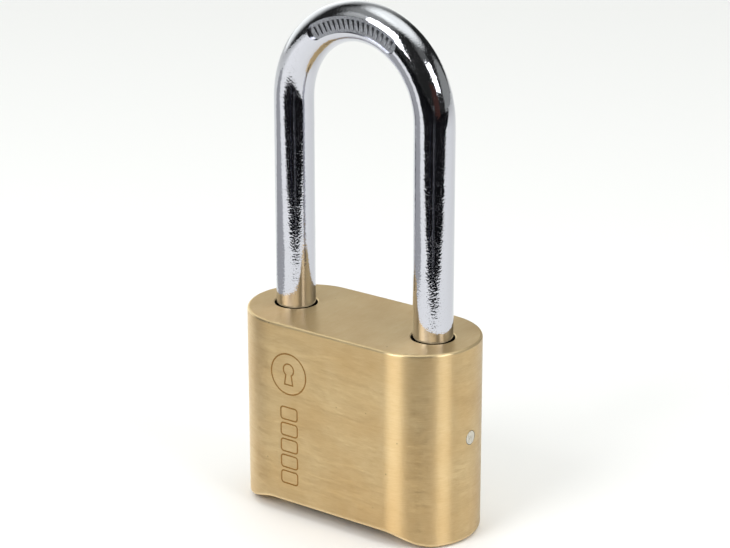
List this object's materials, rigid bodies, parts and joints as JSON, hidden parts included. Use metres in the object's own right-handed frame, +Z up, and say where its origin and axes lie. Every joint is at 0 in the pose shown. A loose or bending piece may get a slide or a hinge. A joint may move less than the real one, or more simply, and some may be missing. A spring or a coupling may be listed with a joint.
{
  "type": "combination padlock",
  "caption": "Brass combination padlock with full-round ends, a tall chromed shackle that lifts, a sliding bolt and number wheels in the hollow of its base.",
  "frame": {"origin": "under the middle of the body, on the plane of its two feet", "axes": "+X along the width towards the heel leg of the shackle, +Z up towards the shackle, and the front face looks along -Y"},
  "size_m": [0.051, 0.0242, 0.103],
  "materials": {
    "body_brass": "satin, brushed across its width",
    "shackle_chrome": "bright plating over forged steel",
    "pin_steel": "ground flush with the body",
    "spindle_steel": "turned",
    "spring_steel": "drawn spring steel",
    "turned_brass": "turned, bright",
    "washer_steel": "stamped",
    "plug_brass": "faced flush with the body",
    "wheel_black": "moulded, with filled white digits",
    "divider_steel": "stamped sheet",
    "screw_steel": "plain"
  },
  "bodies": {
    "lock": {"lock_body": "body_brass", "shackle_retaining_pin": "pin_steel", "guide_bush": "turned_brass", "spring_seat_washer": "washer_steel", "spindle_bore_plug": "plug_brass", "spindle_return_spring": "spring_steel", "wheel_divider_1": "divider_steel", "wheel_divider_2": "divider_steel", "wheel_divider_3": "divider_steel", "detent_spring": "spring_steel", "detent_spring_screw_1": "screw_steel", "detent_spring_screw_2": "screw_steel"},
    "shackle": {"shackle": "shackle_chrome"},
    "bolt": {"spindle_and_bolt": "spindle_steel", "spindle_clip": "spring_steel"},
    "wheel_1": {"number_wheel_1": "wheel_black", "gate_sleeve_1": "turned_brass"},
    "wheel_2": {"number_wheel_2": "wheel_black", "gate_sleeve_2": "turned_brass"},
    "wheel_3": {"number_wheel_3": "wheel_black", "gate_sleeve_3": "turned_brass"},
    "wheel_4": {"number_wheel_4": "wheel_black", "gate_sleeve_4": "turned_brass"}
  },
  "joints": [
    {"name": "shackle_lift", "type": "slide", "parent": "lock", "child": "shackle", "axis": [0, 0, 1], "range_m": [0, 0.01375]},
    {"name": "bolt_slide", "type": "slide", "parent": "lock", "child": "bolt", "axis": [1, 0, 0], "range_m": [0, 0.0026], "stiffness_N_per_m": 150, "springref_m": 0.008, "deforming": ["spindle_return_spring"]},
    {"name": "wheel_1_turn", "type": "hinge", "parent": "lock", "child": "wheel_1", "pos_m": [-0.0084, 0, 0.0085], "axis": [1, 0, 0], "continuous": true, "deforming": ["detent_spring"]},
    {"name": "wheel_2_turn", "type": "hinge", "parent": "lock", "child": "wheel_2", "pos_m": [-0.0028, 0, 0.0085], "axis": [1, 0, 0], "continuous": true},
    {"name": "wheel_3_turn", "type": "hinge", "parent": "lock", "child": "wheel_3", "pos_m": [0.0028, 0, 0.0085], "axis": [1, 0, 0], "continuous": true},
    {"name": "wheel_4_turn", "type": "hinge", "parent": "lock", "child": "wheel_4", "pos_m": [0.0084, 0, 0.0085], "axis": [1, 0, 0], "continuous": true}
  ]
}
